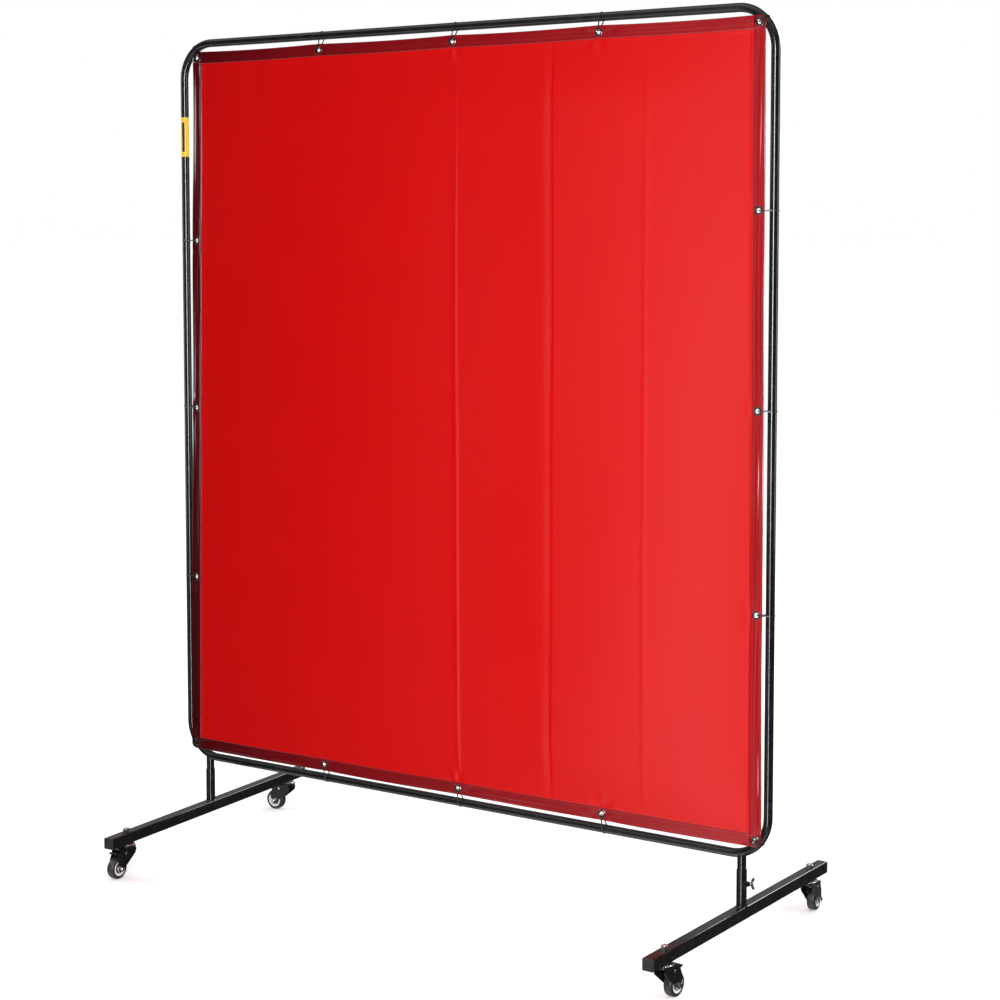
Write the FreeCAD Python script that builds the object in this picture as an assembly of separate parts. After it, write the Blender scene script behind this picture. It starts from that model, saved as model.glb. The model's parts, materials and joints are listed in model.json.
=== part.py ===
import FreeCAD
import Part

import math
import os

# Welding curtain screen on casters, in millimetres.
# +X is the screen's width, -Y its front, +Z up. The origin is on the floor, under the screen's middle.
# Each foot is modelled in its own frame, with its post's axis as Z, and each caster in its own frame,
# with its swivel axis as Z and its wheel trailing towards +X. Both are then put in place.

V = FreeCAD.Vector
X_AXIS, Y_AXIS, Z_AXIS = V(1, 0, 0), V(0, 1, 0), V(0, 0, 1)
ORIGIN = V(0, 0, 0)

# --- round tube frame -------------------------------------------------------------------------
tube_od = 19.0
tube_wall = 1.2
tube_r = tube_od / 2
tube_bore_r = tube_r - tube_wall
frame_width = 1596.0  # between the side tubes' axes
frame_height = 1745.0  # between the top and bottom tubes' axes
frame_bottom = 214.0  # the bottom tube's axis above the floor
frame_top = frame_bottom + frame_height
elbow_radius = 85.0  # bend radius of the tube's axis
top_elbow_arm = 130.0  # from the corner to the end of each elbow
bottom_elbow_arm = 175.0
spigot_length = 40.0  # the reduced end that plugs into the next tube
spigot_r = tube_bore_r - 0.2
collar_length = 5.0  # the thick ring at the spigot's root
seam = 0.4  # gap that shows between two plugged tubes

# --- posts and feet ---------------------------------------------------------------------------
post_x = 738.0  # the posts' axes, each side of the middle
sleeve_r = 11.0
sleeve_bore_r = tube_r + 0.1
sleeve_top = 181.0
sleeve_weld = 2.0  # leg of the weld fillet round the sleeve's base
foot_size = 26.0  # square tube
foot_wall = 1.5
foot_corner = 3.0
foot_length = 776.0  # over its end caps
foot_bottom = 77.0
foot_top = foot_bottom + foot_size
foot_toe = {"left": 4.5, "right": 0.0}  # degrees that each foot is turned about its post
cap_flange = 3.0
cap_plug = 15.0
SIDES = {"left": -1, "right": 1}
LEVELS = {"bottom": -1, "top": 1}

# --- wing bolt that clamps the post in its sleeve ---------------------------------------------
bolt_height = 149.0
bolt_bearing = {"left": 135.0, "right": 45.0}  # degrees from +X, outwards and to the rear
bolt_r = 3.0
bolt_running_gap = 0.05
bolt_tip = tube_r + 0.3
bolt_hub_start = 18.5
bolt_hub_end = 25.0
clamp_nut_end = 16.5
clamp_nut_flats = 10.0
wing_reach = 12.5
wing_thickness = 2.4

# --- casters ----------------------------------------------------------------------------------
caster_spacing = 645.0  # between a foot's two swivel axes
caster_trail = 33.0
caster_turn = {  # degrees from +X that each wheel trails to
    "front_left": 270.0,
    "rear_left": 186.0,
    "front_right": 85.0,
    "rear_right": 97.0,
}
wheel_r = 25.0
tyre_width = 20.0
tyre_shoulder = 5.0
rim_r = 17.5
rim_lip_r = 12.5
hub_r = 8.0
hub_half = 11.8
axle_r = 3.0
head_r = 21.0
fork_plate_top = 70.0
fork_plate_bottom = 67.5
cheek_inner = 12.5  # the fork's cheeks, either side of the wheel
cheek_outer = 14.7
stem_r = 5.0
stem_nut_height = 8.0
stem_nut_flats = 15.0
race_gap = 3.0
ball_r = 1.6
ball_ring_r = 15.0
ball_count = 16
pedal_pivot = V(16, 0, 58)
pedal_hub_r = 4.0
pedal_pin_r = 2.0
pedal_half = 11.6

# --- curtain ----------------------------------------------------------------------------------
curtain_y = -12.5  # the sheet hangs just in front of the tubes
sheet_thickness = 0.5
hem_thickness = 1.6
hem_width = 28.0
hem_margin = 14.0  # from a grommet's centre to the sheet's edge
corner_cut = 10.0  # the hem's corners are cut off at 45 degrees
corner_grommets = {  # (x, z) of each: the sheet is tied up a little out of square
    ("left", "bottom"): (-772.0, 246.0),
    ("right", "bottom"): (775.0, 251.0),
    ("left", "top"): (-745.0, 1925.0),
    ("right", "top"): (768.0, 1927.0),
}
side_grommets = {"left": [662.0, 1079.0, 1486.0], "right": [722.0, 1142.0, 1549.0]}  # heights
end_grommets = {"bottom": [-366.0, 22.0, 404.0], "top": [-368.0, 10.0, 389.0]}  # across the width
grommet_hole_r = 5.0
grommet_barrel_r = 6.0
grommet_ring_r = 9.5
grommet_ring_thickness = 0.9
tie_width = 2.6
tie_thickness = 1.0
tie_head = V(4.4, 3.2, 4.6)
tie_stub = 3.0  # what is left of the tail past the head

# --- label on the left tube -------------------------------------------------------------------
label_bottom = 1689.0
label_top = 1784.0
label_thickness = 0.4


def tube(radius_out, radius_in, start, length, direction):
    """A round tube, or a rod where radius_in is 0."""
    solid = Part.makeCylinder(radius_out, length, start, direction)
    if radius_in:
        solid = solid.cut(Part.makeCylinder(radius_in, length, start, direction))
    return solid


def polygon(points):
    """A closed flat face through the points."""
    return Part.Face(Part.makePolygon(points + points[:1]))


def revolved(points, axis=Z_AXIS):
    """The solid swept by a closed outline in the plane through the axis."""
    return polygon(points).revolve(ORIGIN, axis, 360)


def hexagon(across_flats, height, start, direction):
    """A hexagonal prism with its corners rounded off by a cone at the far end."""
    corner_r = across_flats / math.sqrt(3)
    corners = [V(corner_r * math.cos(math.radians(60 * i)), corner_r * math.sin(math.radians(60 * i)), 0)
               for i in range(6)]
    prism = polygon(corners).extrude(V(0, 0, height))
    flat_r = across_flats / 2
    crown = revolved([V(0, 0, 0), V(corner_r + 1, 0, 0), V(corner_r + 1, 0, height - 1.2),
                      V(flat_r - 0.3, 0, height), V(0, 0, height)])
    nut = prism.common(crown)
    nut.Placement = FreeCAD.Placement(start, FreeCAD.Rotation(Z_AXIS, direction))
    return nut


def rounded_bar(size, corner, start_y, length, centre_z):
    """A square bar along Y with rounded long edges."""
    bar = Part.makeBox(size, length, size, V(-size / 2, start_y, centre_z - size / 2))
    long_edges = [e for e in bar.Edges if abs(e.tangentAt(e.FirstParameter).y) > 0.9]
    return bar.makeFillet(corner, long_edges)


def placed(shape, turn, offset):
    """The shape turned about Z, then moved."""
    copy = shape.copy()
    copy.rotate(ORIGIN, Z_AXIS, turn)
    copy.translate(offset)
    return copy


# --- frame ------------------------------------------------------------------------------------
def elbow_run(radius, arm):
    """A bent rod with its corner at the origin and its arms along +X and +Z, both arm long."""
    start = V(elbow_radius, 0, 0)
    disc = Part.Face(Part.Wire(Part.makeCircle(radius, start, X_AXIS)))
    bend = disc.revolve(V(elbow_radius, 0, elbow_radius), Y_AXIS, 90)
    straight = arm - elbow_radius
    flat = Part.makeCylinder(radius, straight, start, X_AXIS)
    upright = Part.makeCylinder(radius, straight, V(0, 0, elbow_radius), Z_AXIS)
    return bend.fuse([flat, upright])


def elbow(arm):
    """A bent tube with a reduced spigot at each end."""
    solid = elbow_run(tube_r, arm)
    bores = [elbow_run(tube_bore_r, arm - collar_length)]
    for direction in (X_AXIS, Z_AXIS):
        solid = solid.fuse(Part.makeCylinder(spigot_r, spigot_length, direction * arm, direction))
        bores.append(Part.makeCylinder(spigot_r - tube_wall, collar_length + spigot_length,
                                       direction * (arm - collar_length), direction))
    return solid.cut(bores)


def at_corner(shape, side, top):
    """Turns a bottom left elbow about the screen's axes into any of the four corners."""
    copy = shape.copy()
    if side == "right":
        copy.rotate(ORIGIN, Z_AXIS, 180)
    if top:
        copy.rotate(ORIGIN, X_AXIS, 180)
    copy.translate(V(SIDES[side] * frame_width / 2, 0, frame_top if top else frame_bottom))
    return copy


def plugged_pair(start, direction, length):
    """Two tubes in line between two elbows: the first one's spigot plugs into the second."""
    half = length / 2
    first = tube(tube_r, tube_bore_r, start + direction * seam, half - 1.5 * seam, direction)
    neck = start + direction * (half - seam / 2 - collar_length)
    spigot = tube(spigot_r, spigot_r - tube_wall, neck, spigot_length + collar_length, direction)
    collar = tube(tube_bore_r, spigot_r - tube_wall, neck, collar_length, direction)
    second = tube(tube_r, tube_bore_r, start + direction * (half + seam / 2), half - 1.5 * seam, direction)
    return first.fuse([collar, spigot]), second


def post(side):
    """The short leg welded under a bottom elbow, its top shaped to the elbow's underside."""
    x = SIDES[side] * post_x
    foot_gap, under_axis = 0.3, 1.0
    leg = tube(tube_r, tube_bore_r, V(x, 0, foot_top + foot_gap),
               frame_bottom - under_axis - foot_top - foot_gap, Z_AXIS)
    return leg.cut(at_corner(elbow_run(tube_r, bottom_elbow_arm), side, False))


# --- curtain ----------------------------------------------------------------------------------
def toward(start, end, distance):
    """The point at a distance from start on the line to end."""
    return start + (end - start).normalize() * distance


def grommet_places():
    """Each grommet as (centre, side, level). A corner has both, the others only the edge they are on."""
    corners = {key: V(x, 0, z) for key, (x, z) in corner_grommets.items()}
    places = [(centre, side, level) for (side, level), centre in corners.items()]
    for side, heights in side_grommets.items():
        low, rise = corners[side, "bottom"], corners[side, "top"] - corners[side, "bottom"]
        places += [(low + rise * ((z - low.z) / rise.z), side, None) for z in heights]
    for level, widths in end_grommets.items():
        first, run = corners["left", level], corners["right", level] - corners["left", level]
        places += [(first + run * ((x - first.x) / run.x), None, level) for x in widths]
    return places


def flat_piece(corners, thickness):
    """A flat piece of the sheet with these corners."""
    piece = polygon(corners).extrude(V(0, thickness, 0))
    piece.translate(V(0, curtain_y - thickness / 2, 0))
    return piece


def curtain():
    """The sheet and its four doubled hems, with the holes for the grommets cut in the hems."""
    outer = {(side, level): V(x + SIDES[side] * hem_margin, 0, z + LEVELS[level] * hem_margin)
             for (side, level), (x, z) in corner_grommets.items()}
    shoulder, inner = {}, {}
    for side, level in outer:
        other_level = "top" if level == "bottom" else "bottom"
        shoulder[side, level] = toward(outer[side, level], outer[side, other_level], hem_width)
    for side, level in outer:
        other_side = "right" if side == "left" else "left"
        inner[side, level] = toward(shoulder[side, level], shoulder[other_side, level], hem_width)
    pieces = {}
    for level in LEVELS:
        pieces[f"hem_{level}"] = [outer["left", level], outer["right", level],
                                  shoulder["right", level], shoulder["left", level]]
    for side in SIDES:
        pieces[f"hem_{side}"] = [shoulder[side, "bottom"], inner[side, "bottom"],
                                 inner[side, "top"], shoulder[side, "top"]]
    cutters = []
    depth = 10 * hem_thickness
    for centre, side, level in grommet_places():
        start = V(centre.x, curtain_y - depth / 2, centre.z)
        cutters.append(Part.makeCylinder(grommet_barrel_r + 0.1, depth, start, Y_AXIS))
    overhang = 1.0  # each corner's cutter starts this far outside it
    leg = corner_cut + 2 * overhang
    for (side, level), corner in outer.items():
        tip = V(corner.x + SIDES[side] * overhang, curtain_y - depth / 2, corner.z + LEVELS[level] * overhang)
        along_x, along_z = V(-SIDES[side] * leg, 0, 0), V(0, 0, -LEVELS[level] * leg)
        cutters.append(polygon([tip, tip + along_x, tip + along_z]).extrude(V(0, depth, 0)))
    solids = {name: flat_piece(corners, hem_thickness).cut(cutters) for name, corners in pieces.items()}
    sheet_corners = [inner[key] for key in (("left", "bottom"), ("right", "bottom"),
                                            ("right", "top"), ("left", "top"))]
    solids["curtain_sheet"] = flat_piece(sheet_corners, sheet_thickness)
    return solids


def grommet():
    """A rolled ring with a flange each side of the hem, centred on the origin, its axis along Y."""
    face = hem_thickness / 2 + 0.02
    rim = face + grommet_ring_thickness
    half = [V(grommet_hole_r, 0, 0), V(grommet_hole_r, rim - 0.4, 0), V(grommet_hole_r + 0.8, rim, 0),
            V(grommet_ring_r - 1.2, rim, 0), V(grommet_ring_r, face + 0.2, 0), V(grommet_ring_r, face, 0),
            V(grommet_barrel_r, face, 0)]
    outline = half + [V(p.x, -p.y, 0) for p in reversed(half[1:])]
    return revolved(outline, Y_AXIS)


def belt_normal(first, second):
    """The angle that the straight part of a belt from one circle to the next one faces."""
    (xa, ya, ra), (xb, yb, rb) = first, second
    gap = math.hypot(xb - xa, yb - ya)
    return math.atan2(yb - ya, xb - xa) - math.pi / 2 + math.asin((ra - rb) / gap)


def taut(circles):
    """The circles (x, y, radius), in anticlockwise order, that a tight belt round them all touches."""
    kept = list(circles)
    i = 0
    while i < len(kept):
        before, here, after = kept[i - 1], kept[i], kept[(i + 1) % len(kept)]
        turn = (belt_normal(here, after) - belt_normal(before, here)) % (2 * math.pi)
        turns_back = turn > 1.5 * math.pi
        if turns_back:
            del kept[i]
            i = 0
        else:
            i += 1
    return kept


def belt(circles):
    """The closed wire drawn tight round circles that all touch it."""
    edges = []
    count = len(circles)
    normals = [belt_normal(circles[i], circles[(i + 1) % count]) for i in range(count)]
    for i in range(count):
        x, y, r = circles[i]
        next_x, next_y, next_r = circles[(i + 1) % count]
        turn = (normals[i] - normals[i - 1]) % (2 * math.pi)
        arrive, middle, leave = [V(x + r * math.cos(angle), y + r * math.sin(angle), 0)
                                 for angle in (normals[i - 1], normals[i - 1] + turn / 2, normals[i])]
        far = V(next_x + next_r * math.cos(normals[i]), next_y + next_r * math.sin(normals[i]), 0)
        edges.append(Part.Arc(arrive, middle, leave).toShape())
        edges.append(Part.makeLine(leave, far))
    return Part.Wire(edges)


def cable_tie(hole, edge):
    """A closed tie in the plane across a tube: X points from the tube's axis to the grommet, Y to the rear.
    hole is how far the grommet's centre is from the axis, and edge is how far the sheet's edge is."""
    rear = tube_r + 0.15
    rear_face = curtain_y + hem_thickness / 2 + grommet_ring_thickness + 0.3
    front_face = curtain_y - hem_thickness / 2 - grommet_ring_thickness - 0.3
    hem_front = curtain_y - hem_thickness / 2 - 0.3
    crossing = max(hole - 2.2, 8.8)
    nib = 0.2
    inner = taut([
        (0.0, 0.0, rear),
        (edge - 0.4, hem_front + nib, nib),
        (hole - grommet_ring_r - 0.2, front_face + nib + 0.2, nib),
        (crossing - nib, front_face + nib, nib),
        (crossing - nib, rear_face - nib, nib),
    ])
    outer = [(x, y, r + tie_thickness) for x, y, r in inner]
    band = Part.Face(belt(outer)).cut(Part.Face(belt(inner)))
    strap = band.extrude(V(0, 0, tie_width))
    strap.translate(V(0, 0, -tie_width / 2))
    head = Part.makeBox(tie_head.x, tie_head.y, tie_head.z,
                        V(-tie_head.x / 2, rear + 0.01, -tie_head.z / 2))
    tail = Part.makeBox(tie_stub, tie_thickness, tie_width,
                        V(-tie_head.x / 2 - tie_stub, rear + 1.4, -tie_width / 2))
    return strap.fuse([head, tail])


def cable_ties():
    """One tie at each grommet, lying across its tube, or across the elbow at the four corners."""
    ties = []
    for grommet_centre, side, level in grommet_places():
        edge_gap = hem_margin
        tube_x = SIDES.get(side, 0) * frame_width / 2
        tube_z = frame_top if level == "top" else frame_bottom
        if side and level:
            bend = V(tube_x - SIDES[side] * elbow_radius, 0, tube_z - LEVELS[level] * elbow_radius)
            outward = (grommet_centre - bend).normalize()
            axis_point = bend + outward * elbow_radius
            diagonal = V(SIDES[side], 0, LEVELS[level]).normalize()
            skew = outward.getAngle(diagonal)
            cut_gap = hem_margin * math.sqrt(2) - corner_cut / math.sqrt(2)
            edge_gap = cut_gap / math.cos(skew) + tie_width / 2 * math.tan(skew)
        elif side:
            outward = X_AXIS * SIDES[side]
            axis_point = V(tube_x, 0, grommet_centre.z)
        else:
            outward = Z_AXIS * LEVELS[level]
            axis_point = V(grommet_centre.x, 0, tube_z)
        hole = (axis_point - grommet_centre).dot(outward)
        tie = cable_tie(hole, hole - edge_gap)
        inward = outward * -1
        turn = FreeCAD.Rotation(inward, Y_AXIS, inward.cross(Y_AXIS), "XYZ")
        tie.Placement = FreeCAD.Placement(axis_point, turn)
        ties.append(tie)
    return Part.makeCompound(ties)


# --- foot, in the post's own frame ------------------------------------------------------------
def stem_places():
    """The two swivel axes of a foot."""
    return [V(0, y, 0) for y in (-caster_spacing / 2, caster_spacing / 2)]


def foot_tube():
    """The square foot, open at both ends, with a hole through it for each caster's stem."""
    length = foot_length - 2 * cap_flange
    middle = foot_bottom + foot_size / 2
    bar = rounded_bar(foot_size, foot_corner, -length / 2, length, middle)
    bore = rounded_bar(foot_size - 2 * foot_wall, foot_corner - foot_wall, -length / 2, length, middle)
    holes = [Part.makeCylinder(stem_r + 0.2, foot_size, place + V(0, 0, foot_bottom), Z_AXIS)
             for place in stem_places()]
    return bar.cut([bore] + holes)


def foot_cap(end):
    """A plastic end cap: a flange over the tube's end and a plug inside it. end is -1 or 1 along Y."""
    middle = foot_bottom + foot_size / 2
    tube_end = foot_length / 2 - cap_flange
    flange = rounded_bar(foot_size, foot_corner, tube_end, cap_flange, middle)
    face_edges = [e for e in flange.Edges if min(v.Y for v in e.Vertexes) > foot_length / 2 - 0.01]
    flange = flange.makeFillet(1.2, face_edges)
    plug = rounded_bar(foot_size - 2 * foot_wall - 0.2, foot_corner - foot_wall,
                       tube_end - cap_plug, cap_plug, middle)
    cap = flange.fuse(plug)
    if end < 0:
        cap.rotate(ORIGIN, Z_AXIS, 180)
    return cap


def along_bolt(shape, side):
    """Lays a shape modelled along +X at the origin on the wing bolt's axis."""
    return placed(shape, bolt_bearing[side], V(0, 0, bolt_height))


def foot_sleeve(side):
    """The round socket welded on the foot, with a hole for the wing bolt's tip."""
    socket = tube(sleeve_r, sleeve_bore_r, V(0, 0, foot_top), sleeve_top - foot_top, Z_AXIS)
    weld = revolved([V(sleeve_r, 0, foot_top), V(sleeve_r + sleeve_weld, 0, foot_top),
                     V(sleeve_r, 0, foot_top + sleeve_weld)])
    hole = along_bolt(Part.makeCylinder(bolt_r + 0.4, sleeve_r + 2, ORIGIN, X_AXIS), side)
    return socket.fuse(weld).cut(hole)


def clamp_nut(side):
    """The nut welded on the sleeve that the wing bolt screws into."""
    nut = hexagon(clamp_nut_flats, clamp_nut_end, ORIGIN, X_AXIS)
    nut = nut.cut(Part.makeCylinder(bolt_r + bolt_running_gap, clamp_nut_end + 1, ORIGIN, X_AXIS))
    return along_bolt(nut, side).cut(Part.makeCylinder(sleeve_r, 2 * bolt_height, ORIGIN, Z_AXIS))


def wing_bolt(side):
    """A screw with a hub and two raised wings. Its tip bears on the post."""
    shank = Part.makeCylinder(bolt_r, bolt_hub_end - bolt_tip, V(bolt_tip, 0, 0), X_AXIS)
    hub = Part.makeCone(5.0, 3.8, bolt_hub_end - bolt_hub_start, V(bolt_hub_start, 0, 0), X_AXIS)
    wing = polygon([V(bolt_hub_start + 1, 0, 0), V(bolt_hub_start + 2.5, 0, 7.5),
                    V(bolt_hub_end - 1.5, 0, wing_reach), V(bolt_hub_end + 3.5, 0, wing_reach),
                    V(bolt_hub_end + 2.5, 0, 7.5), V(bolt_hub_end - 0.5, 0, 2.5),
                    V(bolt_hub_end - 0.5, 0, 0)])
    wing = wing.extrude(V(0, wing_thickness, 0))
    wing.translate(V(0, -wing_thickness / 2, 0))
    across = [e for e in wing.Edges if abs(e.tangentAt(e.FirstParameter).y) > 0.9
              and e.Vertexes[0].Z > wing_reach - 0.1]
    wing = wing.makeFillet(1.8, across)
    other = wing.copy()
    other.rotate(ORIGIN, X_AXIS, 180)
    return along_bolt(shank.fuse([hub, wing, other]), side)


def stem_nut():
    """The nut on top of the foot that holds a caster's stem."""
    nut = hexagon(stem_nut_flats, stem_nut_height, V(0, 0, foot_top), Z_AXIS)
    return nut.cut(Part.makeCylinder(stem_r + 0.1, stem_nut_height, V(0, 0, foot_top), Z_AXIS))


# --- caster, in its own frame: the swivel axis is Z and the wheel trails towards +X -----------
def caster_stem():
    """The threaded stem with the upper ball race pressed on it and its end riveted under the fork."""
    race_bottom = fork_plate_top + race_gap
    rivet_bottom, rivet_top = fork_plate_bottom - 3.0, fork_plate_bottom - 0.3
    tip = foot_top + stem_nut_height + 1.5
    outline = [V(0, 0, rivet_bottom), V(6.5, 0, rivet_bottom), V(8, 0, rivet_bottom + 1), V(8, 0, rivet_top),
               V(stem_r, 0, rivet_top), V(stem_r, 0, race_bottom), V(head_r - 2.0, 0, race_bottom),
               V(head_r - 1.0, 0, race_bottom + 1), V(head_r - 2.5, 0, race_bottom + 2.6),
               V(12, 0, foot_bottom), V(stem_r, 0, foot_bottom), V(stem_r, 0, tip - 1), V(stem_r - 1, 0, tip),
               V(0, 0, tip)]
    groove = Part.makeTorus(ball_ring_r, ball_r + 0.3, V(0, 0, fork_plate_top + race_gap / 2), Z_AXIS)
    return revolved(outline).cut(groove)


def swivel_balls():
    """The ring of balls that the fork turns on."""
    ring = []
    for i in range(ball_count):
        angle = 2 * math.pi * i / ball_count
        ring.append(Part.makeSphere(ball_r, V(ball_ring_r * math.cos(angle), ball_ring_r * math.sin(angle),
                                              fork_plate_top + race_gap / 2)))
    return Part.makeCompound(ring)


def caster_fork():
    """One pressed piece: a dished plate under the ball race, a roof over the wheel and two cheeks."""
    dish = revolved([V(stem_r + 0.2, 0, fork_plate_bottom), V(head_r - 2, 0, fork_plate_bottom),
                     V(head_r, 0, fork_plate_bottom + 2), V(head_r, 0, fork_plate_top + 1.2),
                     V(head_r - 1.2, 0, fork_plate_top + 1.2), V(head_r - 1.8, 0, fork_plate_top),
                     V(stem_r + 0.2, 0, fork_plate_top)])
    groove = Part.makeTorus(ball_ring_r, ball_r + 0.3, V(0, 0, fork_plate_top + race_gap / 2), Z_AXIS)
    roof = Part.makeBox(33, 2 * cheek_outer, 2.2, V(0, -cheek_outer, fork_plate_bottom - 2.2))
    roof = roof.cut(Part.makeCylinder(head_r - 3, 10, V(0, 0, fork_plate_bottom - 5), Z_AXIS))
    lead_top, nose = V(-15, 0, fork_plate_bottom), V(-17.5, 0, fork_plate_bottom - 5.5)
    axle = V(caster_trail, 0, wheel_r)
    round_start, round_low, round_end = axle + V(-6, 0, -5.3), axle + V(0, 0, -8), axle + V(7.9, 0, 1.2)
    rise, shoulder, roof_end = V(41.5, 0, 44), V(36, 0, 57), V(33, 0, fork_plate_bottom)
    outline = Part.Wire([
        Part.makeLine(lead_top, nose), Part.makeLine(nose, V(-14, 0, 53)),
        Part.makeLine(V(-14, 0, 53), round_start), Part.Arc(round_start, round_low, round_end).toShape(),
        Part.makeLine(round_end, rise), Part.makeLine(rise, shoulder), Part.makeLine(shoulder, roof_end),
        Part.makeLine(roof_end, lead_top),
    ])
    cheek = Part.Face(outline).extrude(V(0, cheek_outer - cheek_inner, 0))
    cheeks = []
    for y in (cheek_inner, -cheek_outer):
        side = cheek.copy()
        side.translate(V(0, y, 0))
        cheeks.append(side)
    axle_hole = Part.makeCylinder(axle_r + 0.2, 4 * cheek_outer, axle - V(0, 2 * cheek_outer, 0), Y_AXIS)
    pin_hole = Part.makeCylinder(pedal_pin_r + 0.2, 4 * cheek_outer,
                                 pedal_pivot - V(0, 2 * cheek_outer, 0), Y_AXIS)
    return dish.fuse([roof] + cheeks).cut([groove, axle_hole, pin_hole])


def across_wheel(points, centre):
    """A solid of revolution about a line along Y through centre. A point's x is its radius."""
    shape = revolved(points, Y_AXIS)
    shape.translate(centre)
    return shape


def caster_core():
    """The wheel's hard core: hub, thin web and rim."""
    rim_half, web_half = tyre_width / 2 - 0.6, 4.0
    half = [V(axle_r + bolt_running_gap, hub_half, 0), V(hub_r - 0.8, hub_half, 0),
            V(hub_r, hub_half - 0.8, 0), V(hub_r, web_half, 0), V(rim_lip_r, web_half, 0),
            V(rim_lip_r + 0.6, rim_half, 0), V(rim_r, rim_half, 0)]
    outline = half + [V(p.x, -p.y, 0) for p in reversed(half)]
    return across_wheel(outline, V(caster_trail, 0, wheel_r))


def caster_tyre():
    """The solid tyre, with rounded shoulders."""
    half, r = tyre_width / 2, tyre_shoulder
    shoulder = r * math.sin(math.radians(45))
    tread, wall = V(wheel_r, half - r, 0), V(wheel_r - r, half, 0)
    bend = V(wheel_r - r + shoulder, half - r + shoulder, 0)
    tread_low, wall_low, bend_low = V(tread.x, -tread.y, 0), V(wall.x, -wall.y, 0), V(bend.x, -bend.y, 0)
    seat, seat_low = V(rim_r, half, 0), V(rim_r, -half, 0)
    outline = Part.Wire([
        Part.makeLine(seat, wall), Part.Arc(wall, bend, tread).toShape(), Part.makeLine(tread, tread_low),
        Part.Arc(tread_low, bend_low, wall_low).toShape(), Part.makeLine(wall_low, seat_low),
        Part.makeLine(seat_low, seat),
    ])
    tyre = Part.Face(outline).revolve(ORIGIN, Y_AXIS, 360)
    tyre.translate(V(caster_trail, 0, wheel_r))
    return tyre


def caster_pins():
    """The axle bolt with its nut, and the rivet that the brake pedal turns on."""
    axle = V(caster_trail, 0, wheel_r)
    face = cheek_outer + 0.1
    bolt = Part.makeCylinder(axle_r, 2 * face + 6.5, axle - V(0, face, 0), Y_AXIS)
    bolt_head = hexagon(10, 4, axle - V(0, face, 0), V(0, -1, 0))
    nut = hexagon(10, 5.5, axle + V(0, face, 0), Y_AXIS)
    rivet = Part.makeCylinder(pedal_pin_r, 2 * face, pedal_pivot - V(0, face, 0), Y_AXIS)
    domes = []
    for direction in (-1, 1):
        dome = Part.makeSphere(4.0, pedal_pivot + V(0, direction * (face - 2.6), 0))
        outside = Part.makeBox(20, 10, 20, pedal_pivot + V(-10, face if direction > 0 else -face - 10, -10))
        domes.append(dome.common(outside))
    return Part.makeCompound([bolt.fuse([bolt_head, nut]), rivet.fuse(domes)])


def brake_pedal():
    """A lever over the wheel: its shoe comes down on the tyre as its toe is pushed down."""
    blade = [V(16, 0, 62), V(34, 0, 60.8), V(43, 0, 62.5), V(48, 0, 62.0), V(48.5, 0, 60.2), V(43, 0, 59.0),
             V(37, 0, 57.0), V(36, 0, 55.8), V(28, 0, 55.4), V(26, 0, 56.8), V(16, 0, 54)]
    lever = polygon(blade).extrude(V(0, 2 * pedal_half, 0))
    lever.translate(V(0, -pedal_half, 0))
    hub = Part.makeCylinder(pedal_hub_r, 2 * pedal_half, pedal_pivot - V(0, pedal_half, 0), Y_AXIS)
    bore = Part.makeCylinder(pedal_pin_r + bolt_running_gap, 4 * pedal_half,
                             pedal_pivot - V(0, 2 * pedal_half, 0), Y_AXIS)
    return lever.fuse(hub).cut(bore)


# --- assembly ---------------------------------------------------------------------------------
def frame_parts():
    """Elbows, straight tubes and posts."""
    parts = {}
    for side in SIDES:
        parts[f"elbow_top_{side}"] = at_corner(elbow(top_elbow_arm), side, True)
        parts[f"elbow_bottom_{side}"] = at_corner(elbow(bottom_elbow_arm), side, False)
        parts[f"post_{side}"] = post(side)
        upright_start = V(SIDES[side] * frame_width / 2, 0, frame_bottom + bottom_elbow_arm)
        lower, upper = plugged_pair(upright_start, Z_AXIS, frame_height - bottom_elbow_arm - top_elbow_arm)
        parts[f"side_tube_{side}_lower"] = lower
        parts[f"side_tube_{side}_upper"] = upper
    for level, z, arm in (("top", frame_top, top_elbow_arm), ("bottom", frame_bottom, bottom_elbow_arm)):
        left, right = plugged_pair(V(-frame_width / 2 + arm, 0, z), X_AXIS, frame_width - 2 * arm)
        parts[f"{level}_tube_left"] = left
        parts[f"{level}_tube_right"] = right
    return parts


def curtain_parts():
    """The sheet with its hems, grommets and ties, and the label."""
    parts = curtain()
    rings = [placed(grommet(), 0, centre + V(0, curtain_y, 0)) for centre, _, _ in grommet_places()]
    parts["grommets"] = Part.makeCompound(rings)
    parts["cable_ties"] = cable_ties()
    start = V(-frame_width / 2, 0, label_bottom)
    parts["tube_label"] = tube(tube_r + 0.05 + label_thickness, tube_r + 0.05, start,
                               label_top - label_bottom, Z_AXIS)
    return parts


def foot_parts(side):
    """One foot with its sleeve, clamp and four caster assemblies' fixed pieces, put under its post."""
    turn, place = foot_toe[side], V(SIDES[side] * post_x, 0, 0)
    own = {
        f"foot_tube_{side}": foot_tube(),
        f"foot_caps_{side}": Part.makeCompound([foot_cap(-1), foot_cap(1)]),
        f"foot_sleeve_{side}": foot_sleeve(side),
        f"clamp_nut_{side}": clamp_nut(side),
        f"wing_bolt_{side}": wing_bolt(side),
        f"caster_nuts_{side}": Part.makeCompound([placed(stem_nut(), 0, at) for at in stem_places()]),
        f"caster_stems_{side}": Part.makeCompound([placed(caster_stem(), 0, at) for at in stem_places()]),
    }
    return {name: placed(shape, turn, place) for name, shape in own.items()}


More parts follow.
